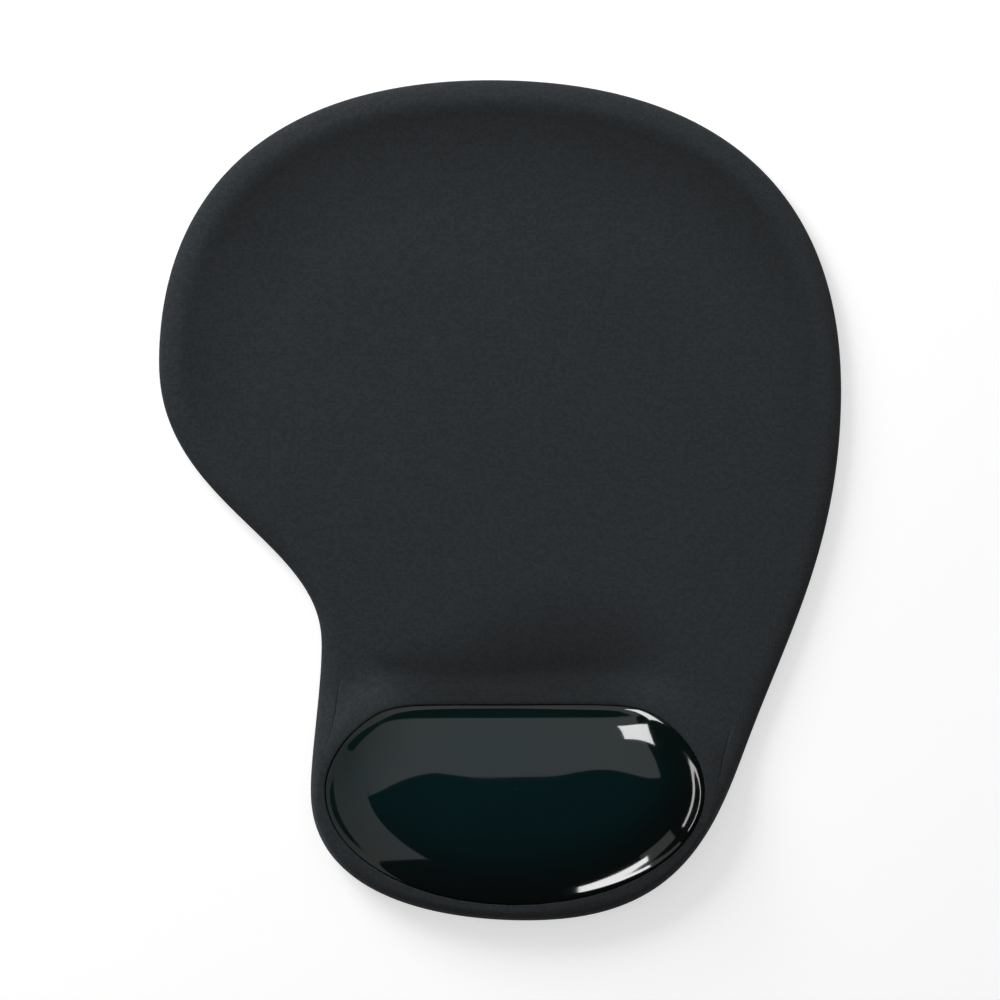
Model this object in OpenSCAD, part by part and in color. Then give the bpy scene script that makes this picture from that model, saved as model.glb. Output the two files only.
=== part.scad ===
// Mouse mat with a built-in gel wrist rest: a foam mat covered in knitted fabric, with a domed gel
// pad that stands out of a window in the cover, and a non-slip sheet underneath.
// Sizes are in millimetres. +X is to the right, +Y is away from the user and +Z is up.
// The origin is on the table, at the middle of the mat's overall width and depth.

/* [Mouse area] */
// Overall width of the mat
mat_w = 200; // [165:1:240]
// Depth from the gel's straight edge to the top of the crown
mat_d = 182.4; // [150:0.1:220]
// Height of the mat's flat top
mat_t = 6; // [5:0.1:9]
// How far the middle of the mat lies to the left of the gel's middle
mat_shift = 4.3; // [0:0.1:12]
// How far the top of the crown lies to the left of the mat's middle
crown_shift = 2.7; // [-10:0.1:10]
// How far the widest point on the right lies behind the gel's straight edge
right_bulge = 92; // [75:1:110]
// How far the widest point on the left lies behind the gel's straight edge
left_bulge = 99; // [80:1:115]
// How far the right flank's lower end lies behind the middle of the gel's oval
flank_back = 11.5; // [6:0.5:18]
// Run of the rounded edge round the mat, seen from above
rim_run = 5.5; // [3:0.1:9]
// Radius of the edge's underside
rim_under = 1.3; // [1:0.1:2]

/* [Waist] */
// How far the waist lies behind the gel's straight edge
waist_back = 18; // [10:0.5:30]
// How far the waist lies outside the gel's left end
waist_gap = 1.2; // [0.5:0.1:8]

/* [Gel rest] */
// Width of the gel pad in its window
gel_w = 110.6; // [90:0.1:135]
// Depth of the oval that the gel pad is cut from
gel_oval = 66; // [54:0.1:80]
// Distance from the oval's middle to the gel's straight edge
gel_back = 25.3; // [20:0.1:30]
// Sharpness of the corners of the straight edge
gel_corner = 20; // [8:1:30]
// Height of the gel's crest
gel_crest = 18.5; // [16:0.1:24]
// Run of the gel's rounded side at the back and the ends, seen from above
gel_round = 16; // [8:0.5:18]
// Run of the gel's rounded side towards the user, seen from above
gel_front_round = 20; // [8:0.5:22]
// How far the gel's top crowns above its rounded side
gel_crown = 3.5; // [0.5:0.1:5]
// Height of the cover at the gel's edge
rest_h = 10; // [8:0.1:13]
// Width of the cover to the left of the gel
rim_left = 4.5; // [3.5:0.1:12]
// How far the outline's left end lies in front of the middle of the gel's oval
heel_front = 1; // [-5:0.5:8]
// How far the outline's front end lies to the right of the gel's middle
front_shift = 4.3; // [-5:0.1:10]
// Width of the cover in front of the gel
rim_front = 5.3; // [3.5:0.1:12]
// Width of the cover to the right of the gel
rim_right = 12; // [4:0.1:20]
// Width of the slope from the gel down to the mat, behind the middle of the gel
slope_mid_w = 6; // [3:0.1:12]
// Width of the slope from the gel down to the mat, at the gel's ends
slope_w = 11; // [4:0.1:16]

/* [Layers] */
// Thickness of the non-slip sheet
base_t = 1.5; // [1:0.1:2.5]
// How far the non-slip sheet stops inside the mat's edge
base_inset = 2.5; // [2:0.1:5]
// Thickness of the adhesive under the foam
base_adhesive_t = 0.2; // [0.1:0.05:0.4]
// Thickness of the knitted cover
cover_t = 0.6; // [0.4:0.05:0.9]
// Thickness of the adhesive under the cover
cover_adhesive_t = 0.15; // [0.1:0.05:0.3]
// Width of the cover's hem, turned under the foam
hem_w = 8; // [5:0.5:12]
// Thickness of the glossy film over the gel
skin_t = 0.4; // [0.2:0.05:0.6]
// Width of the film's flange, held under the cover
flange_w = 1.6; // [1:0.1:2]
// Gap between the cover's cut edge and the gel's side
window_gap = 0.3; // [0.2:0.05:0.6]
// Thickness of the formed film under the gel
backing_t = 0.3; // [0.2:0.05:0.5]
// How far the sides of the gel's pocket lean in towards its floor
pocket_draft = 1.5; // [0.5:0.1:3]
// Thickness of the adhesive under the gel
gel_adhesive_t = 0.2; // [0.1:0.05:0.4]
// Thickness of the foam under the gel
floor_t = 1.5; // [1:0.1:2.5]

/* [Hidden] */

// Heights above the table
foam_z = base_t + base_adhesive_t;
rim_z = foam_z + rim_under;
pocket_z = foam_z + floor_t;
backing_z = pocket_z + gel_adhesive_t;
tray_z = backing_z + backing_t;
// Depths of each surface under the cover's face
cover_e = cover_t;
foam_e = cover_t + cover_adhesive_t;
tray_e = foam_e + skin_t;
ledge_e = tray_e + backing_t;

// The outline turns anticlockwise through seven anchors. Each holds its place from the middle of
// the gel's oval, its heading, the reach of the curve before and after it as a share of the
// distance to the next anchor, the steps to the next anchor, and the place that faces it on the
// gel's edge, as an angle round the oval.
anchors = [
    [gel_w / 2 + rim_right, flank_back, 70, 0.39, 0.32, 14, 12],
    [mat_w / 2 - mat_shift, gel_back + right_bulge, 90, 0.42, 0.43, 18, 52],
    [-crown_shift - mat_shift, gel_back + mat_d, 180, 0.48, 0.48, 18, 68],
    [-mat_w / 2 - mat_shift, gel_back + left_bulge, 270, 0.42, 0.43, 16, 84],
    [-gel_w / 2 - waist_gap, gel_back + waist_back, 270, 0.31, 0.29, 6, 138],
    [-gel_w / 2 - rim_left, -heel_front, 270, 0.26, 0.33, 12, 180],
    [front_shift, -gel_oval / 2 - rim_front, 360, 0.52, 0.5, 12, 277]
];

function place(anchor) = [anchor[0], anchor[1]];
function heading(angle) = [cos(angle), sin(angle)];
function follower(i) = anchors[(i + 1) % len(anchors)];
// The facing place of the next anchor, carried past the full turn after the last one
function facing_next(i) = follower(i)[6] + (i == len(anchors) - 1 ? 360 : 0);

// A point of the cubic curve between two anchors, from t = 0 to 1
function between(a, b, t) =
    let (p = place(a), q = place(b), far = norm(q - p))
    let (leave = p + a[4] * far * heading(a[2]), arrive = q - b[3] * far * heading(b[2]))
    pow(1 - t, 3) * p + 3 * t * pow(1 - t, 2) * leave + 3 * t * t * (1 - t) * arrive + pow(t, 3) * q;

// A point of the gel's edge: an oval, cut straight at the back with softened corners
function gel_edge(angle) =
    let (p = [gel_w / 2 * cos(angle), gel_oval / 2 * sin(angle)])
    let (past = max(0, p[1]) / gel_back)
    p / pow(1 + pow(past, gel_corner), 1 / gel_corner);

// The outline and the window in the cover, point for point, first from the oval's middle
drawn_outline = [for (i = [0:len(anchors) - 1]) for (j = [0:anchors[i][5] - 1])
    between(anchors[i], follower(i), j / anchors[i][5])];
drawn_window = [for (i = [0:len(anchors) - 1]) for (j = [0:anchors[i][5] - 1])
    gel_edge(anchors[i][6] + (facing_next(i) - anchors[i][6]) * j / anchors[i][5])];
drawn_x = [for (p = drawn_outline) p[0]];
drawn_y = [for (p = drawn_outline) p[1]];
middle = [min(drawn_x) + max(drawn_x), min(drawn_y) + max(drawn_y)] / 2;
outline = [for (p = drawn_outline) p - middle];
window = [for (p = drawn_window) p - middle];
every = [0:len(outline) - 1];

// The way into the shape, square to a closed ring at each of its points
function way_in(ring) = [for (i = every)
    let (along = ring[(i + 1) % len(ring)] - ring[(i + len(ring) - 1) % len(ring)])
    [-along[1], along[0]] / norm(along)];
outline_in = way_in(outline);
window_in = way_in(window);

function lift(ring, z) = [for (p = ring) [p[0], p[1], z]];
function outline_inset(by) = [for (i = every) outline[i] + by * outline_in[i]];
function window_inset(by) = [for (i = every) window[i] + by * window_in[i]];
function soft_step(t) = let (s = min(1, max(0, t))) s * s * (3 - 2 * s);

// Distance from a point to the straight line between two others, and to the window's edge
function off_line(p, a, b) =
    let (s = b - a, t = min(1, max(0, (p - a) * s / (s * s))))
    norm(p - a - t * s);
function off_window(p) =
    min([for (i = every) off_line(p, window[i], window[(i + 1) % len(window)])]);

// Height of the cover's face: level round the gel, then down a slope to the mat
function slope_at(p) =
    slope_mid_w + (slope_w - slope_mid_w) * soft_step(abs(p[0] + middle[0]) / (gel_w / 2));
function face_z(p) =
    mat_t + (rest_h - mat_t) * soft_step(1 - (off_window(p) - flange_w) / slope_at(p));

// The rounded edge takes at most half of the cover between the outline and the window
run = [for (i = every) min(rim_run, norm(window[i] - outline[i]) / 2)];
shoulder = [for (i = every) outline[i] + run[i] * outline_in[i]];
edge_top = [for (p = shoulder) face_z(p)];
// Each point of the flange and of the slope lies on a line from the window to the shoulder. The
// lines run aslant, so the slope reaches further along them than its own width. Neither takes
// more than its share of a short line.
land = [for (i = every) norm(window[i] - shoulder[i])];
flange_share = 0.6;
slope_share = 0.8;
slope_slant = 1.4;
flange_reach = [for (l = land) min(flange_w, flange_share * l)];
slope_reach = [for (i = every)
    flange_reach[i] + min(slope_slant * slope_w, slope_share * (land[i] - flange_reach[i]))];
slope_rows = 4;
slope_rings = [for (row = [0:slope_rows]) [for (i = every)
    let (reach = slope_reach[i] + (flange_reach[i] - slope_reach[i]) * row / slope_rows)
    let (p = window[i] + (shoulder[i] - window[i]) * reach / land[i])
    [p[0], p[1], face_z(p)]]];

// Rings of a surface that lies e under the cover's face: the edge's underside from -90 to 0
// degrees, the edge's top from 0 to 90 degrees, and a row of the slope, the last at the flange
function under_ring(e, turn) = lift(
    outline_inset(rim_under - (rim_under - e) * cos(turn)), rim_z + (rim_under - e) * sin(turn));
function over_ring(e, turn) = [for (i = every)
    let (p = outline[i] + (run[i] - (run[i] - e) * cos(turn)) * outline_in[i])
    [p[0], p[1], rim_z + (edge_top[i] - e - rim_z) * sin(turn)]];
function slope_ring(e, row) = [for (p = slope_rings[row]) p - [0, 0, e]];
function flange_ring(e) = slope_ring(e, slope_rows);

// From the hem's inner edge, round the mat's edge and up the slope to the window
function covered(e) = concat(
    [lift(outline_inset(hem_w), foam_z + e)],
    [for (turn = [-90, -45]) under_ring(e, turn)],
    [for (turn = [0, 22.5, 45, 67.5, 90]) over_ring(e, turn)],
    [for (row = [0:slope_rows]) slope_ring(e, row)]);
function to_window(e) = concat(covered(e), [lift(window, rest_h - e)]);

// The dome of the gel, e under the face of its film: a rounded side, then a crowned top whose rings
// shrink towards the middle. From each point of the window the side follows an arc, steepest at its
// foot and level at its end, and side_turns are the shares of the arc's turn still to go. The
// oval's width and depth shrink over the side, each by its own run. The crown takes up the side's
// run and the rest of the way in alike.
side_turns = [1, 0.84, 0.67, 0.48, 0.25, 0];
top_sizes = [0.8, 0.6, 0.4, 0.2];
side_share = 0.58;
side_rise = gel_crest - gel_crown - rest_h + foam_e;
side_way = [for (p = drawn_window)
    [-p[0] * gel_round / (gel_w / 2),
     -p[1] * (p[1] > 0 ? gel_round / gel_back : gel_front_round / (gel_oval / 2))]];
foot_turn = [for (way = side_way) 2 * atan(side_rise / norm(way))];
crown_end = (1 - side_share) * top_sizes[len(top_sizes) - 1];
function crown_z(out) = gel_crown * (1 - out * out) / (1 - crown_end * crown_end);
function side_point(e, i, turn) =
    let (gone = 1 - sin(turn) / sin(foot_turn[i]))
    let (risen = (cos(turn) - cos(foot_turn[i])) / (1 - cos(foot_turn[i])))
    let (p = window[i] + (window_gap + e) * window_in[i] + gone * side_way[i])
    [p[0], p[1], rest_h - foam_e - e + side_rise * risen + crown_z(1 - side_share * gone)];
function dome(e) =
    let (side = [for (left = side_turns) [for (i = every) side_point(e, i, left * foot_turn[i])]])
    let (brow = side[len(side) - 1])
    let (top = [for (size = top_sizes) lift(
        [for (p = brow) [p[0], p[1]] * size - middle * (1 - size)],
        rest_h - foam_e - e + side_rise + crown_z((1 - side_share) * size))])
    concat(side, top);

// The tray under the gel, e below its upper face, from its brim to its floor
function tray(e) = [
    lift(window_inset(window_gap + skin_t - e), rest_h - tray_e - e),
    lift(window_inset(window_gap + skin_t - e + pocket_draft / 3), tray_z - e + pocket_draft),
    lift(window_inset(window_gap + skin_t - e + pocket_draft), tray_z - e)];

// A solid between two stacks of rings, joined at their first rings. Their last rings are joined
// too, or each is closed with a flat face. Both stacks split their four-sided faces the same way,
// so that two solids with the same stack between them touch face to face.
module between_stacks(upper, lower, closed) {
    rings = concat([for (i = [1:len(lower)]) lower[len(lower) - i]], upper);
    points = [for (ring = rings) each ring];
    n = len(upper[0]);
    bands = len(rings) - (closed ? 1 : 0);
    sides = [for (j = [0:bands - 1]) for (i = [0:n - 1])
        let (a = j * n + i, b = j * n + (i + 1) % n)
        let (c = (j + 1) % len(rings) * n + i, d = (j + 1) % len(rings) * n + (i + 1) % n)
        each (j < len(lower) ? [[a, c, b], [c, d, b]] : [[a, c, d], [a, d, b]])];
    ends = closed ? [[for (i = [0:n - 1]) i], [for (i = [1:n]) len(points) - i]] : [];
    polyhedron(points, concat(sides, ends), convexity = 8);
}

module grip_base() {
    color("#26282a")
        linear_extrude(base_t)
            polygon(outline_inset(base_inset));
}

module base_adhesive() {
    color("#b9b48f")
        translate([0, 0, base_t])
            linear_extrude(base_adhesive_t)
                polygon(outline_inset(base_inset));
}

module foam_body() {
    pocket = tray(backing_t);
    floor_ring = lift(pocket[len(pocket) - 1], pocket_z);
    color("#3b3d40")
        between_stacks(
            concat(covered(foam_e), [flange_ring(ledge_e)], pocket, [floor_ring]),
            [lift(outline_inset(hem_w), foam_z)], closed = true);
}

module cover_adhesive() {
    color("#c4bfa0")
        between_stacks(to_window(cover_e), to_window(foam_e), closed = false);
}

module cover_fabric() {
    color("#2b2f31")
        between_stacks(to_window(0), to_window(cover_e), closed = false);
}

module gel_adhesive() {
    color("#c4bfa0")
        translate([0, 0, pocket_z])
            linear_extrude(gel_adhesive_t)
                polygon(window_inset(window_gap + skin_t - backing_t + pocket_draft));
}

module gel_backing() {
    color("#202428")
        between_stacks(
            concat([flange_ring(tray_e)], tray(0)),
            concat([flange_ring(ledge_e)], tray(backing_t)), closed = true);
}

module gel_filling() {
    color("#0f3b42")
        between_stacks(dome(skin_t), [for (i = [1:2]) tray(0)[i]], closed = true);
}

module gel_skin() {
    color("#16414a", 0.8)
        between_stacks(
            concat([flange_ring(foam_e)], dome(0)),
            concat([flange_ring(tray_e)], dome(skin_t)), closed = true);
}

grip_base();
base_adhesive();
foam_body();
cover_adhesive();
cover_fabric();
gel_adhesive();
gel_backing();
gel_filling();
gel_skin();
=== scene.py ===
"""A mouse mat with a built-in gel wrist rest, dressed for a studio picture.

Metres throughout. +X is to the right, +Y away from the user and +Z up, with the table at z = 0.
"""

import math

import bmesh
import bpy
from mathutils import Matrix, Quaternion, Vector


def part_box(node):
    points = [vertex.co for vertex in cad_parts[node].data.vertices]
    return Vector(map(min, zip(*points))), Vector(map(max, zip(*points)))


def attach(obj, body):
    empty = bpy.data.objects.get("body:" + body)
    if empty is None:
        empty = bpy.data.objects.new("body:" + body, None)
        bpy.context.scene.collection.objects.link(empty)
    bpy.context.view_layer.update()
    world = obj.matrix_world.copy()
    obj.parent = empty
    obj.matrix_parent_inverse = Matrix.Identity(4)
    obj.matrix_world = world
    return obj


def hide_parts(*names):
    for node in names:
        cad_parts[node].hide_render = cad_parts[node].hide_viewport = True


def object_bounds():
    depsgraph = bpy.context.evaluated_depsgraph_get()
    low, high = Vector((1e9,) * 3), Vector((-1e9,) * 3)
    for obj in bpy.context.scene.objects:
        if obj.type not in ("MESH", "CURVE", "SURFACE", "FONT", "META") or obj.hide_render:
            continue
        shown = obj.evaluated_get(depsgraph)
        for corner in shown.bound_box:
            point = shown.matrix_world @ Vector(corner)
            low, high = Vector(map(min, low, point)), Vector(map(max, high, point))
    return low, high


MM = 0.001
WELD = 0.01 * MM

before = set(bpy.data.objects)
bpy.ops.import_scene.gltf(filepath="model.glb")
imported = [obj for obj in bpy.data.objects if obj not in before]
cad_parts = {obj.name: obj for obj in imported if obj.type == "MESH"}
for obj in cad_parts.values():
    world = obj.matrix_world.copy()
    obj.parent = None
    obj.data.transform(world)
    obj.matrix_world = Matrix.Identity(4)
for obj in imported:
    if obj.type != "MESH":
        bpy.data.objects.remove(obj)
cad_low, cad_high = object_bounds()


# Sizes, read from the frame

cloth_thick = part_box("cover_fabric")[1].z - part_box("cover_adhesive")[1].z
film_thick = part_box("gel_skin")[1].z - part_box("gel_filling")[1].z
gel_low, gel_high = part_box("gel_skin")
gel_middle = (gel_low + gel_high) / 2
# The gel's rings are level this far below its crest
LEVEL_TOP = 0.8 * MM
# The crest rises this much inside the last ring
CREST_CAP = 0.025 * MM

# The cover's traced rings: the hem's inner edge, the widest ring, the shoulder of the rounded
# edge and the foot of the slope up to the gel
HEM, WIDEST, SHOULDER, FOOT = 0, 3, 7, 8
# The moulded rim stands a little proud of the mat's flat top. Each row lies this far inside the
# shoulder and this share of the bead's height above the flat.
BEAD_HEIGHT = 0.28 * MM
BEAD_ROWS = [(1.3 * MM, 1.0), (3.0 * MM, 0.55), (5.0 * MM, 0.08), (7.5 * MM, -0.05)]
RIM_LIFTS = {WIDEST + 2: 0.15, WIDEST + 3: 0.5, SHOULDER: 0.85}
# How much painted shade darkens the cloth on each row of the bead, on the last row of the flat,
# and on each ring from the foot of the slope to the window
BEAD_PAINTED_SHADE = [0.25, 0.65, 0.9, 0.65]
SLOPE_PAINTED_SHADE = [0.0, 0.7, 1.0, 1.0, 1.0, 0.9, 0.8]
# The slope is painted darker, as painted shade, behind the gel's straight edge, this far to either
# side of its middle and up to this far in front of it
STRAIGHT_HALF = 36 * MM
STRAIGHT_DEPTH = 12 * MM
# Where the cover is narrower than this, the bead is narrower and lower with it
BEAD_FADE = 16 * MM
# The bead has its full height this far behind the gel, and dies away from there to the gel's back
BEAD_END = 90 * MM
# Rows of the flat cloth between the bead and the foot of the slope. They run aslant on the left, so
# each line leans inward over the bead, and bows inward after it, as a share of its length. Else the
# rows would fold.
FLAT_ROWS = 6
INWARD_LEAN = 0.3
INWARD_BOW = 0.3
# Radius of the bevel on the non-slip sheet's edges
GRIP_BEVEL = 0.35 * MM
# Width and height that the square picture takes in
PICTURE_WIDTH = 292.4 * MM
# The paper sweep's width, wide enough to reach the horizon, and how far it lies under the rubber,
# so that the two never share a plane
SWEEP_WIDTH = 60
SWEEP_DROP = 0.1 * MM


# Modelling

def take_up(piece):
    """Makes a piece the only selected one, and the active one."""
    bpy.ops.object.select_all(action="DESELECT")
    piece.select_set(True)
    bpy.context.view_layer.objects.active = piece


def finish_with(piece, kind, **settings):
    """Adds a modifier to a piece and applies it."""
    take_up(piece)
    modifier = piece.modifiers.new(kind.title(), kind)
    for name, value in settings.items():
        setattr(modifier, name, value)
    bpy.ops.object.modifier_apply(modifier=modifier.name)


def smooth_round(piece, levels):
    """Rounds a cage with a subdivision surface and shades it smooth."""
    finish_with(piece, "SUBSURF", levels=levels, render_levels=levels)
    bpy.ops.object.shade_smooth()


def welded_copy(node, name):
    """A copy of a CAD node's mesh with its loose triangles welded, as a new piece."""
    piece = bpy.data.objects.new(name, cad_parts[node].data.copy())
    bpy.context.collection.objects.link(piece)
    take_up(piece)
    bpy.ops.object.mode_set(mode="EDIT")
    bpy.ops.mesh.select_all(action="SELECT")
    bpy.ops.mesh.remove_doubles(threshold=WELD)
    bpy.ops.mesh.tris_convert_to_quads(face_threshold=math.radians(5))
    bpy.ops.object.mode_set(mode="OBJECT")
    return piece


def mean_height(ring):
    return sum(v.co.z for v in ring) / len(ring)


def level_ring(start):
    """The ring of vertices at one height through a vertex, anticlockwise seen from above."""
    ring = [start]
    while True:
        beside = [edge.other_vert(ring[-1]) for edge in ring[-1].link_edges]
        level = [v for v in beside if abs(v.co.z - start.co.z) < WELD and v not in ring]
        if not level:
            return ring
        ring.append(max(level, key=lambda v: v.co.y))


def ring_past(ring, passed, lean):
    """The ring beyond this one, away from the vertices passed, or None at an end. Each edge's
    face on that side holds one vertex of it, which leans on by a step where lean says so."""
    found = []
    for a, b in zip(ring, ring[1:] + ring[:1]):
        beyond = [v for face in a.link_faces if b in face.verts for v in face.verts
                  if v not in (a, b) and v not in passed]
        if len(beyond) != 1 or beyond[0] in ring:
            return None
        found += beyond
    return found[-1:] + found[:-1] if lean else found


def traced(node, depth=1):
    """The rings of a CAD shell's outer face, from below to above, as lists of points. They are
    followed both ways from the widest level ring within this depth of the shell's top, as far as
    they go on falling or rising."""
    shell = bmesh.new()
    shell.from_mesh(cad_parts[node].data)
    bmesh.ops.remove_doubles(shell, verts=shell.verts, dist=WELD)
    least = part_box(node)[1].z - depth
    high = [v for v in shell.verts if v.co.z > least]
    widest = level_ring(max(high, key=lambda v: v.co.x))
    runs = []
    for way in (-1, 1):
        rings = [widest]
        passed = {edge.other_vert(v) for v in widest for edge in v.link_edges
                  if way * (edge.other_vert(v).co.z - v.co.z) < -WELD}
        while True:
            ring = ring_past(rings[-1], passed, lean=way > 0)
            if ring is None or way * (mean_height(ring) - mean_height(rings[-1])) < -WELD:
                break
            passed = set(rings[-1])
            rings.append(ring)
        runs.append([[v.co.copy() for v in ring] for ring in rings])
    shell.free()
    return runs[0][:0:-1] + runs[1]


def carry_selected(piece, points):
    """Carries the selected vertices of the piece in edit mode to these points, in their order."""
    shape = bmesh.from_edit_mesh(piece.data)
    for vertex, point in zip([v for v in shape.verts if v.select], points, strict=True):
        vertex.co = point
    bmesh.update_edit_mesh(piece.data)


def loft(name, rings):
    """A new piece, left in edit mode, whose skin is extruded from each closed ring to the next."""
    bpy.ops.object.select_all(action="DESELECT")
    bpy.ops.mesh.primitive_circle_add(vertices=len(rings[0]), radius=cad_high.x)
    piece = bpy.context.object
    piece.name = name
    piece.data.name = name
    bpy.ops.object.mode_set(mode="EDIT")
    bpy.ops.mesh.select_all(action="SELECT")
    carry_selected(piece, rings[0])
    for ring in rings[1:]:
        bpy.ops.mesh.extrude_edges_move()
        carry_selected(piece, ring)
    return piece


def turn_outwards():
    """Turns the faces of the piece in edit mode outwards, and leaves edit mode."""
    bpy.ops.mesh.select_all(action="SELECT")
    bpy.ops.mesh.normals_make_consistent(inside=False)
    bpy.ops.object.mode_set(mode="OBJECT")


def crown_cap(piece, rise):
    """Fills the selected ring with a grid of faces, which rises to this height in its middle."""
    shape = bmesh.from_edit_mesh(piece.data)
    rim = [v.co.copy() for v in shape.verts if v.select]
    known = len(shape.verts)
    bpy.ops.mesh.fill_grid(span=len(rim) // 4, use_interp_simple=True)
    middle = sum(rim, Vector()) / len(rim)
    shape = bmesh.from_edit_mesh(piece.data)
    for vertex in list(shape.verts)[known:]:
        out = (vertex.co - middle).xy
        # The rim's own distance from the middle, the same way
        reach = min(rim, key=lambda p: out.angle((p - middle).xy, 0) if out.length else 0)
        share = out.length / (reach - middle).xy.length
        vertex.co.z = middle.z + rise * (1 - share * share)
    bmesh.update_edit_mesh(piece.data)


# The cover: one piece of knitted cloth, stretched over the foam and hemmed under it

def cover_rings():
    """The cover's outer face from the hem's edge to the window, with the rim's bead added, and the
    share of the bead's height along the edge. It is less where the cover is narrow, where the rows
    run aslant to the edge and near the gel."""
    rings = traced("cover_fabric")
    hem = [a.lerp(b, 0.5) for a, b in zip(rings[HEM], rings[HEM + 1])]
    edge = rings[SHOULDER]
    across = [(b - a).xy for a, b in zip(edge, rings[FOOT])]
    along = [(b - a).xy.normalized() for a, b in zip(edge[-1:] + edge[:-1], edge[1:] + edge[:1])]
    square = [a.normalized().cross(b) ** 2 for a, b in zip(across, along)]
    near = [min(1, max(0, (a.y - gel_high.y) / BEAD_END)) for a in edge]
    narrow = [min(1, a.length / BEAD_FADE) for a in across]
    fade = [a * b * c for a, b, c in zip(narrow, square, near)]
    for at, share in RIM_LIFTS.items():
        for point, f in zip(rings[at], fade):
            point.z += BEAD_HEIGHT * share * f
    flat = [a - Vector((0, 0, BEAD_HEIGHT * RIM_LIFTS[SHOULDER] * f))
            for a, f in zip(rings[SHOULDER], fade)]
    inward = [Vector((-b.y, b.x, 0)) for b in along]
    ways = [a.normalized().to_3d().lerp(c, INWARD_LEAN * w).normalized()
            for a, c, w in zip(across, inward, narrow)]
    bead = [[a + way * run * w + Vector((0, 0, BEAD_HEIGHT * share * f))
             for a, way, w, f in zip(flat, ways, narrow, fade)] for run, share in BEAD_ROWS]
    level = [a + way * BEAD_ROWS[-1][0] * w for a, way, w in zip(flat, ways, narrow)]
    rows = []
    for row in range(1, FLAT_ROWS + 1):
        share = row / (FLAT_ROWS + 1)
        bow = INWARD_BOW * share * (1 - share) ** 2
        rows.append([a.lerp(b, share) + c * bow * d.length
                     for a, b, c, d in zip(level, rings[FOOT], inward, across)])
    return [rings[HEM], hem, *rings[HEM + 1:FOOT], *bead, *rows, *rings[FOOT:]], fade


def lay_out_cloth(piece, rings):
    """Gives the cover a UV map in metres of its flat cloth: straight down on top of the mat, and
    rolled out level past the shoulder, round the rim and along the hem."""
    # The ring added in the hem comes before these two
    shoulder, widest = SHOULDER + 1, WIDEST + 1
    flat = [[point.xy for point in ring] for ring in rings]
    for at in range(shoulder - 1, -1, -1):
        for i, point in enumerate(rings[at]):
            out = (rings[widest][i] - rings[shoulder][i]).xy.normalized()
            flat[at][i] = flat[at + 1][i] + out * (point - rings[at + 1][i]).length
    places = [place for ring in flat for place in ring]
    cloth = piece.data.uv_layers.new(name="cloth")
    for loop in piece.data.loops:
        cloth.data[loop.index].uv = places[loop.vertex_index]


def mark_painted_shade(piece, rings, fade):
    """Marks each point of the cover with how much painted shade darkens it: in the trough inside the
    bead, and on the slope behind the gel's straight edge."""
    plain = len(rings) - len(BEAD_PAINTED_SHADE) - FLAT_ROWS - len(SLOPE_PAINTED_SHADE) + 1
    shares = [0] * plain + BEAD_PAINTED_SHADE + [0] * (FLAT_ROWS - 1) + SLOPE_PAINTED_SHADE
    aside = [min(1, abs(point.x - gel_middle.x) / STRAIGHT_HALF) for point in rings[-1]]
    ahead = [min(1, (gel_high.y - point.y) / STRAIGHT_DEPTH) for point in rings[-1]]
    slope = [(1 - a ** 4) * (1 - b ** 4) for a, b in zip(aside, ahead)]
    values = [share * weight for at, share in enumerate(shares)
              for weight in (slope if at >= len(rings) - len(SLOPE_PAINTED_SHADE) else fade)]
    # How much painted shade darkens each point of the cloth
    marks = piece.data.attributes.new("painted_shade", "FLOAT", "POINT")
    marks.data.foreach_set("value", values)


def knitted_cover():
    rings, fade = cover_rings()
    piece = loft("knitted_cover", rings)
    turn_outwards()
    lay_out_cloth(piece, rings)
    mark_painted_shade(piece, rings, fade)
    finish_with(piece, "SOLIDIFY", thickness=cloth_thick, offset=-1)
    smooth_round(piece, 2)
    return piece


# The gel pad: a glossy film, and the soft gel under it

def gel_film():
    # The first two rings are the lower edge of the flange that the cover holds down
    piece = loft("gel_film", traced("gel_skin", LEVEL_TOP)[2:])
    crown_cap(piece, CREST_CAP)
    turn_outwards()
    finish_with(piece, "SOLIDIFY", thickness=film_thick, offset=-1)
    smooth_round(piece, 2)
    return piece


def gel_pad():
    piece = loft("gel_pad", traced("gel_filling", LEVEL_TOP))
    crown_cap(piece, CREST_CAP)
    bpy.ops.mesh.select_all(action="DESELECT")
    bpy.ops.mesh.select_non_manifold()
    crown_cap(piece, 0)
    turn_outwards()
    smooth_round(piece, 1)
    return piece


def foam_pad():
    piece = welded_copy("foam_body", "foam_pad")
    smooth_round(piece, 1)
    return piece


def grip_sheet():
    piece = welded_copy("grip_base", "grip_sheet")
    finish_with(piece, "BEVEL", width=GRIP_BEVEL, segments=3, limit_method="ANGLE")
    bpy.ops.object.shade_smooth_by_angle(angle=math.radians(10))
    return piece


# Materials

def paint(code):
    """The linear colour of an sRGB hex value."""
    levels = [int(code[at:at + 2], 16) / 255 for at in (1, 3, 5)]
    return (*(v / 12.92 if v <= 0.04045 else ((v + 0.055) / 1.055) ** 2.4 for v in levels), 1)


def add(tree, kind, inputs, **settings):
    """Adds a node. Each input is set to its value, or linked where that is another node's output."""
    node = tree.nodes.new("ShaderNode" + kind)
    for name, value in settings.items():
        setattr(node, name, value)
    for name, value in inputs.items():
        if isinstance(value, bpy.types.NodeSocket):
            tree.links.new(value, node.inputs[name])
        else:
            node.inputs[name].default_value = value
    return node


def started(name):
    """A new material's tree, emptied."""
    material = bpy.data.materials.new(name)
    material.use_nodes = True
    material.node_tree.nodes.clear()
    return material, material.node_tree


def surfaced(material, **inputs):
    """Finishes a material with a Principled shader. Names are spelt with _ for a space."""
    tree = material.node_tree
    named = {name.replace("_", " "): value for name, value in inputs.items()}
    shader = add(tree, "BsdfPrincipled", named)
    add(tree, "OutputMaterial", {"Surface": shader.outputs[0]})
    return material


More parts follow.
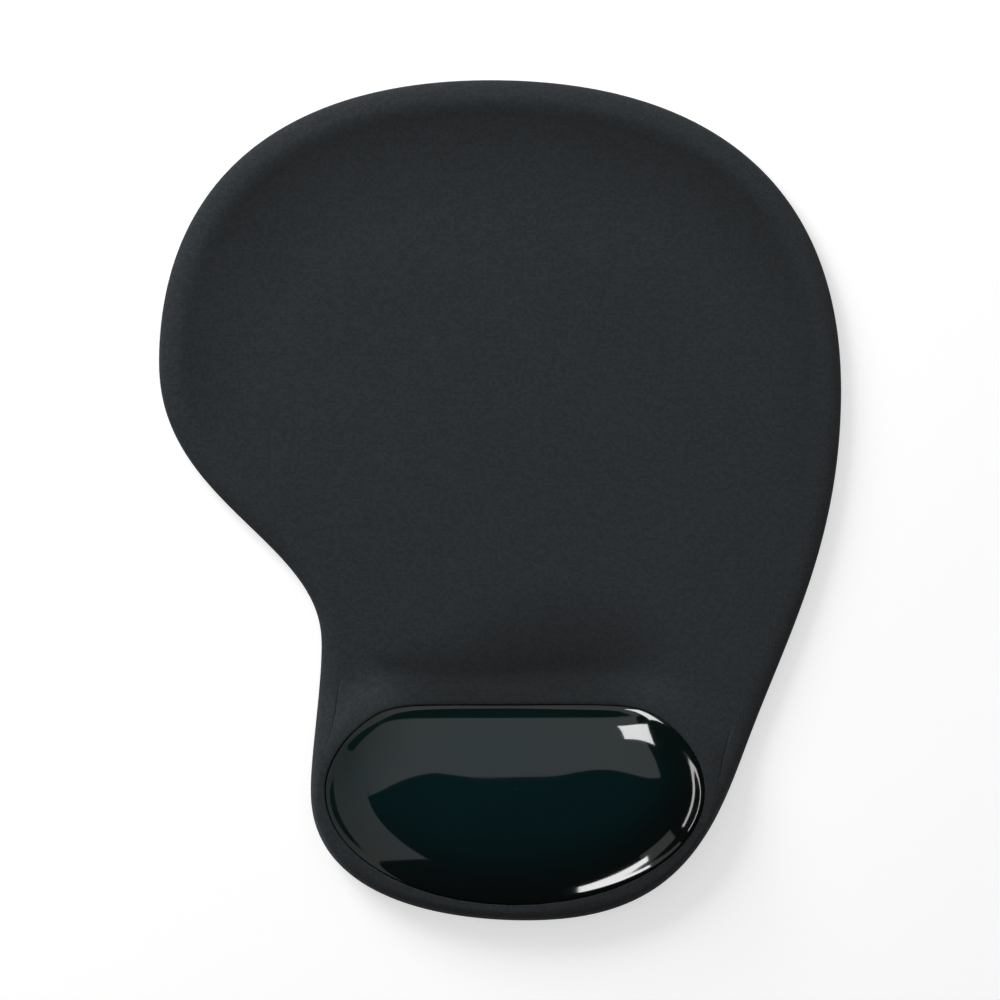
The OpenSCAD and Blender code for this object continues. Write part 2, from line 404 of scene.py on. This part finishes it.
def math_of(tree, operation, a, b=0.0):
    return add(tree, "Math", {0: a, 1: b}, operation=operation).outputs[0]


def blended(tree, share, low, high):
    """A colour between two, by a share from 0 to 1."""
    ramp = add(tree, "ValToRGB", {"Fac": share})
    ramp.color_ramp.elements[0].color = paint(low)
    ramp.color_ramp.elements[1].color = paint(high)
    return ramp.outputs["Color"]


def knitted_polyester():
    """Weft-knit polyester jersey, dyed charcoal: matt and fine-grained, with columns of small
    V-shaped stitches, a little fuzz that lightens its edges, and yarn that takes dye unevenly."""
    material, tree = started("knitted polyester")
    wale, course = 0.85 * MM, 0.7 * MM
    cloth = add(tree, "UVMap", {}, uv_map="cloth").outputs["UV"]
    # The columns waver by a third of a stitch, over a few centimetres
    waver = add(tree, "TexNoise", {"Vector": cloth, "Scale": 45.0, "Detail": 2.0})
    sway = add(tree, "VectorMath", {0: waver.outputs["Color"], 1: (0.0012,) * 3}, operation="MULTIPLY")
    drawn = add(tree, "VectorMath", {0: cloth, 1: sway.outputs[0]}, operation="ADD").outputs[0]
    stitches = add(tree, "Mapping", {"Vector": drawn, "Scale": (1 / wale, 1 / course, 1)}).outputs[0]
    place = add(tree, "SeparateXYZ", {"Vector": stitches})
    # Two yarns to a column, each rounded across, and leaning to meet in a V
    across = math_of(tree, "MULTIPLY", math_of(tree, "PINGPONG", place.outputs["X"], 0.25), 4)
    lean = math_of(tree, "PINGPONG", place.outputs["X"], 0.5)
    leant = math_of(tree, "ADD", place.outputs["Y"], lean)
    along = math_of(tree, "MULTIPLY", math_of(tree, "PINGPONG", leant, 0.5), 2)
    yarn = math_of(tree, "SQRT", math_of(tree, "MULTIPLY", across, math_of(tree, "ADD", along, 0.15)))
    # Every stitch takes the dye a little differently, and so does the cloth from place to place
    cell = add(tree, "VectorMath", {0: stitches}, operation="FLOOR").outputs[0]
    dye = add(tree, "TexWhiteNoise", {"Vector": cell}, noise_dimensions="2D").outputs["Value"]
    fibres = add(tree, "TexNoise", {"Vector": cloth, "Scale": 2600.0, "Detail": 3.0}).outputs["Fac"]
    cloud = add(tree, "TexNoise", {"Vector": cloth, "Scale": 28.0, "Detail": 3.0}).outputs["Fac"]
    # The yarn's rounded face also sets the colour, darker between the yarns: painted shade in the
    # knit's grooves
    shade = math_of(tree, "MULTIPLY", yarn, 0.45)
    for part, weight in ((dye, 0.22), (fibres, 0.42), (cloud, 0.12)):
        shade = add(tree, "Math", {0: part, 1: weight, 2: shade}, operation="MULTIPLY_ADD").outputs[0]
    colour = blended(tree, shade, "#090b0d", "#393e42")
    # Painted shade: the cloth is darker where the mark is set, in the trough inside the bead and on the
    # slope behind the gel
    painted_shade = add(tree, "Attribute", {}, attribute_name="painted_shade").outputs["Fac"]
    dim = add(tree, "MapRange", {"Value": painted_shade, "To Min": 1.0, "To Max": 0.5}).outputs[0]
    colour = add(tree, "VectorMath", {0: colour, 1: dim}, operation="MULTIPLY").outputs[0]
    relief = add(tree, "Bump", {"Strength": 0.8, "Distance": 0.12 * MM, "Height": yarn})
    return surfaced(material, Base_Color=colour, Roughness=0.92, Normal=relief.outputs[0],
                    Specular_IOR_Level=0.25, Sheen_Weight=0.2, Sheen_Roughness=0.35,
                    Sheen_Tint=paint("#aab4b8"))


def smoked_film():
    """Clear polyurethane film over smoke-green gel: a wet, mirror-like gloss with a faint ripple,
    nearly black where the gel is deep, and greener where it thins towards its foot."""
    material, tree = started("smoked polyurethane film")
    place = add(tree, "TexCoord", {}).outputs["Object"]
    half = (gel_high - gel_low) / 2
    centred = add(tree, "Mapping", {"Vector": place, "Location": tuple(-gel_middle)}).outputs[0]
    shrunk = add(tree, "VectorMath", {0: centred, 1: (1 / half.x, 1 / half.y, 0)}, operation="MULTIPLY")
    out = add(tree, "VectorMath", {0: shrunk.outputs[0]}, operation="LENGTH").outputs["Value"]
    depths = add(tree, "TexNoise", {"Vector": place, "Scale": 35.0, "Detail": 2.0}).outputs["Fac"]
    thin = math_of(tree, "POWER", out, 3.0)
    share = add(tree, "Math", {0: depths, 1: 0.35, 2: thin}, operation="MULTIPLY_ADD").outputs[0]
    colour = blended(tree, share, "#011f23", "#01100f")
    ripple = add(tree, "TexNoise", {"Vector": place, "Scale": 50.0, "Detail": 1.0}).outputs["Fac"]
    wave = add(tree, "Bump", {"Strength": 0.5, "Distance": 0.08 * MM, "Height": ripple})
    smear = add(tree, "TexNoise", {"Vector": place, "Scale": 90.0, "Detail": 4.0}).outputs["Fac"]
    rough = add(tree, "MapRange", {"Value": smear, "To Min": 0.03, "To Max": 0.09}).outputs[0]
    return surfaced(material, Base_Color=colour, Roughness=rough, Normal=wave.outputs[0], IOR=1.5)


def silicone_gel():
    """Soft tinted gel, hidden under its film: dark green, cloudy and wet, with a few bubbles."""
    material, tree = started("tinted gel")
    place = add(tree, "TexCoord", {}).outputs["Object"]
    cloud = add(tree, "TexNoise", {"Vector": place, "Scale": 60.0, "Detail": 3.0}).outputs["Fac"]
    bubbles = add(tree, "TexVoronoi", {"Vector": place, "Scale": 140.0}).outputs["Distance"]
    bump = add(tree, "Bump", {"Strength": 0.3, "Distance": 0.2 * MM, "Height": bubbles})
    return surfaced(material, Base_Color=blended(tree, cloud, "#071a1c", "#0f2f33"),
                    Roughness=0.15, Normal=bump.outputs[0], IOR=1.43)


def polyurethane_foam():
    """Open-celled polyurethane foam, moulded dark grey: dull, with pores of 0.7 mm."""
    material, tree = started("polyurethane foam")
    place = add(tree, "TexCoord", {}).outputs["Object"]
    pores = add(tree, "TexVoronoi", {"Vector": place, "Scale": 1 / (0.7 * MM)}).outputs["Distance"]
    bump = add(tree, "Bump", {"Strength": 0.7, "Distance": 0.25 * MM, "Height": pores})
    # The pores are darker towards their sunken middles: painted shade in the hollows
    return surfaced(material, Base_Color=blended(tree, pores, "#232426", "#4a4c4e"),
                    Roughness=0.95, Normal=bump.outputs[0])


def natural_rubber():
    """Foamed natural rubber, pressed on a fine waffle cloth: dull black-grey, with a grid of low
    square pads for grip and a dusting of paler specks."""
    material, tree = started("foamed natural rubber")
    pitch = 2.4 * MM
    place = add(tree, "TexCoord", {}).outputs["Object"]
    turned = add(tree, "Mapping", {"Vector": place, "Rotation": (0, 0, math.radians(45)),
                                   "Scale": (1 / pitch, 1 / pitch, 1 / pitch)}).outputs[0]
    cell = add(tree, "SeparateXYZ", {"Vector": turned})
    sides = [math_of(tree, "PINGPONG", cell.outputs[axis], 0.5) for axis in ("X", "Y")]
    pad = add(tree, "MapRange", {"Value": math_of(tree, "MINIMUM", *sides), "From Min": 0.06,
                                 "From Max": 0.2}, interpolation_type="SMOOTHSTEP").outputs[0]
    grain = add(tree, "TexNoise", {"Vector": place, "Scale": 1800.0, "Detail": 4.0}).outputs["Fac"]
    # The grooves between the raised pads are darker: painted shade in the recesses
    shade = add(tree, "Math", {0: pad, 1: 0.35, 2: math_of(tree, "MULTIPLY", grain, 0.6)},
                operation="MULTIPLY_ADD").outputs[0]
    height = add(tree, "Math", {0: grain, 1: 0.15, 2: pad}, operation="MULTIPLY_ADD").outputs[0]
    bump = add(tree, "Bump", {"Strength": 0.9, "Distance": 0.25 * MM, "Height": height})
    return surfaced(material, Base_Color=blended(tree, shade, "#131415", "#37393b"),
                    Roughness=0.85, Normal=bump.outputs[0])


def acrylic_adhesive():
    """Dried acrylic adhesive: a thin clear film with roller streaks, dark from what lies under it."""
    material, tree = started("acrylic adhesive")
    place = add(tree, "TexCoord", {}).outputs["Object"]
    pulled = add(tree, "Mapping", {"Vector": place, "Scale": (30.0, 400.0, 30.0)}).outputs[0]
    streaks = add(tree, "TexNoise", {"Vector": pulled, "Scale": 1.0, "Detail": 3.0}).outputs["Fac"]
    bump = add(tree, "Bump", {"Strength": 0.3, "Distance": 0.05 * MM, "Height": streaks})
    return surfaced(material, Base_Color=blended(tree, streaks, "#33332f", "#56544b"),
                    Roughness=0.35, Normal=bump.outputs[0])


def formed_tray_film():
    """Vacuum-formed plastic film, dark smoke: satin, with the faint pull lines of its forming."""
    material, tree = started("vacuum-formed film")
    place = add(tree, "TexCoord", {}).outputs["Object"]
    pull = add(tree, "TexNoise", {"Vector": place, "Scale": 220.0, "Detail": 2.0}).outputs["Fac"]
    bump = add(tree, "Bump", {"Strength": 0.2, "Distance": 0.1 * MM, "Height": pull})
    return surfaced(material, Base_Color=blended(tree, pull, "#181c1f", "#2a3034"),
                    Roughness=0.4, Normal=bump.outputs[0])


def coat(piece, material):
    piece.data.materials.clear()
    piece.data.materials.append(material)


# The object

cover, film, pad, foam, grip = knitted_cover(), gel_film(), gel_pad(), foam_pad(), grip_sheet()
for piece, node, slot, material in (
    (cover, "cover_fabric", "knitted_cover", knitted_polyester()),
    (film, "gel_skin", "gel_film", smoked_film()),
    (pad, "gel_filling", "gel", silicone_gel()),
    (foam, "foam_body", "moulded_foam", polyurethane_foam()),
    (grip, "grip_base", "grip_sheet", natural_rubber()),
):
    coat(piece, material)
    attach(piece, "root")
    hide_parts(node)
adhesive = acrylic_adhesive()
for node in ("base_adhesive", "cover_adhesive", "gel_adhesive"):
    coat(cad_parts[node], adhesive)
coat(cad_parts["gel_backing"], formed_tray_film())


# The studio

def towards(azimuth, elevation):
    """The way from the gel at an azimuth, clockwise from +Y, and an elevation in degrees."""
    azimuth, elevation = math.radians(azimuth), math.radians(elevation)
    return Vector((math.sin(azimuth) * math.cos(elevation), math.cos(azimuth) * math.cos(elevation),
                   math.sin(elevation)))


def lamp(name, way, distance, size, radiance, roll=0, mirrored=True, lighting=True):
    """A rectangular soft light that faces the gel. At a radiance of 1 its face looks white. One that
    is not mirrored leaves no reflection, and one that is not lighting is a reflection only."""
    light = bpy.data.objects.new(name, bpy.data.lights.new(name, "AREA"))
    light.data.shape = "RECTANGLE"
    light.data.size, light.data.size_y = size
    light.data.energy = radiance * math.pi * size[0] * size[1]
    light.location = gel_middle + way * distance
    turn = way.to_track_quat("Z", "Y") @ Quaternion((0, 0, 1), math.radians(roll))
    light.rotation_euler = turn.to_euler()
    light.visible_glossy = mirrored
    light.visible_diffuse = lighting
    bpy.context.collection.objects.link(light)


def glowing_card(name, way, distance, size):
    """A large card that the gel mirrors, brighter towards the right. It lights nothing, and where
    two cards overlap, only the nearer one shows."""
    bpy.ops.mesh.primitive_plane_add(size=1)
    card = bpy.context.object
    card.name = name
    card.scale = (*size, 1)
    card.rotation_euler = way.to_track_quat("Z", "Y").to_euler()
    card.location = gel_middle + way * distance
    take_up(card)
    bpy.ops.object.transform_apply()
    card.visible_camera = False
    card.visible_diffuse = False
    material, tree = started(name)
    place = add(tree, "TexCoord", {}).outputs["Object"]
    aside = add(tree, "SeparateXYZ", {"Vector": place}).outputs["X"]
    radiance = add(tree, "MapRange", {"Value": aside, "From Min": -2.0, "From Max": -0.2,
                                      "To Min": 0.32, "To Max": 0.8}).outputs[0]
    glow = add(tree, "Emission", {"Color": paint("#ffffff"), "Strength": radiance})
    add(tree, "OutputMaterial", {"Surface": glow.outputs[0]})
    coat(card, material)


def studio():
    glowing_card("back_card", towards(-20, 52), 1.6, (3.0, 2.2))
    glowing_card("left_card", towards(-104, 30), 1.6, (3.4, 1.5))
    lamp("back_light", towards(-20, 52), 1.5, (2.4, 1.8), 0.62, mirrored=False)
    lamp("key_light", towards(-38, 24), 1.5, (0.7, 0.7), 15, mirrored=False)
    lamp("window", towards(27, 30), 1.5, (0.56, 0.46), 16, roll=30, lighting=False)
    lamp("strip_window", towards(92, 7), 1.5, (2.0, 0.08), 8, lighting=False)
    lamp("low_window", towards(158, 10), 1.5, (0.5, 0.15), 16, lighting=False)
    lamp("side_card", towards(142, 12), 1.5, (0.45, 0.35), 0.6, lighting=False)
    world = bpy.data.worlds.new("studio_air")
    world.use_nodes = True
    world.node_tree.nodes["Background"].inputs["Color"].default_value = (0.05, 0.05, 0.05, 1)
    bpy.context.scene.world = world


def sweep():
    """A pale sweep of paper. Straight looks and mirrors see it white, with the object's shadow."""
    bpy.ops.mesh.primitive_grid_add(x_subdivisions=4, y_subdivisions=4, size=SWEEP_WIDTH,
                                    location=(0, 0, -SWEEP_DROP))
    floor = bpy.context.object
    floor.name = "paper_sweep"
    material, tree = started("pale paper")
    rays = add(tree, "LightPath", {})
    direct = math_of(tree, "MAXIMUM", rays.outputs["Is Camera Ray"],
                     math_of(tree, "MAXIMUM", rays.outputs["Is Glossy Ray"],
                             rays.outputs["Is Transmission Ray"]))
    dull = add(tree, "BsdfDiffuse", {"Color": paint("#6a6a6a")})
    paper = add(tree, "BsdfDiffuse", {"Color": paint("#c8c8c8")})
    glow = add(tree, "Emission", {"Color": paint("#ffffff"), "Strength": 0.62})
    lit = add(tree, "AddShader", {0: paper.outputs[0], 1: glow.outputs[0]})
    mixed = add(tree, "MixShader", {0: direct, 1: dull.outputs[0], 2: lit.outputs[0]})
    add(tree, "OutputMaterial", {"Surface": mixed.outputs[0]})
    coat(floor, material)


def camera_above():
    """Looks straight down, with the table's middle in the middle of the picture."""
    lens, sensor = 110, 36
    camera = bpy.data.objects.new("camera", bpy.data.cameras.new("camera"))
    camera.data.lens = lens
    camera.data.sensor_width = sensor
    # From this height the width is in the picture 3 mm above the table
    camera.location = (0, 0, PICTURE_WIDTH * lens / sensor + 3 * MM)
    bpy.context.collection.objects.link(camera)
    bpy.context.scene.camera = camera


studio()
sweep()
camera_above()
bpy.context.scene.view_settings.view_transform = "Standard"
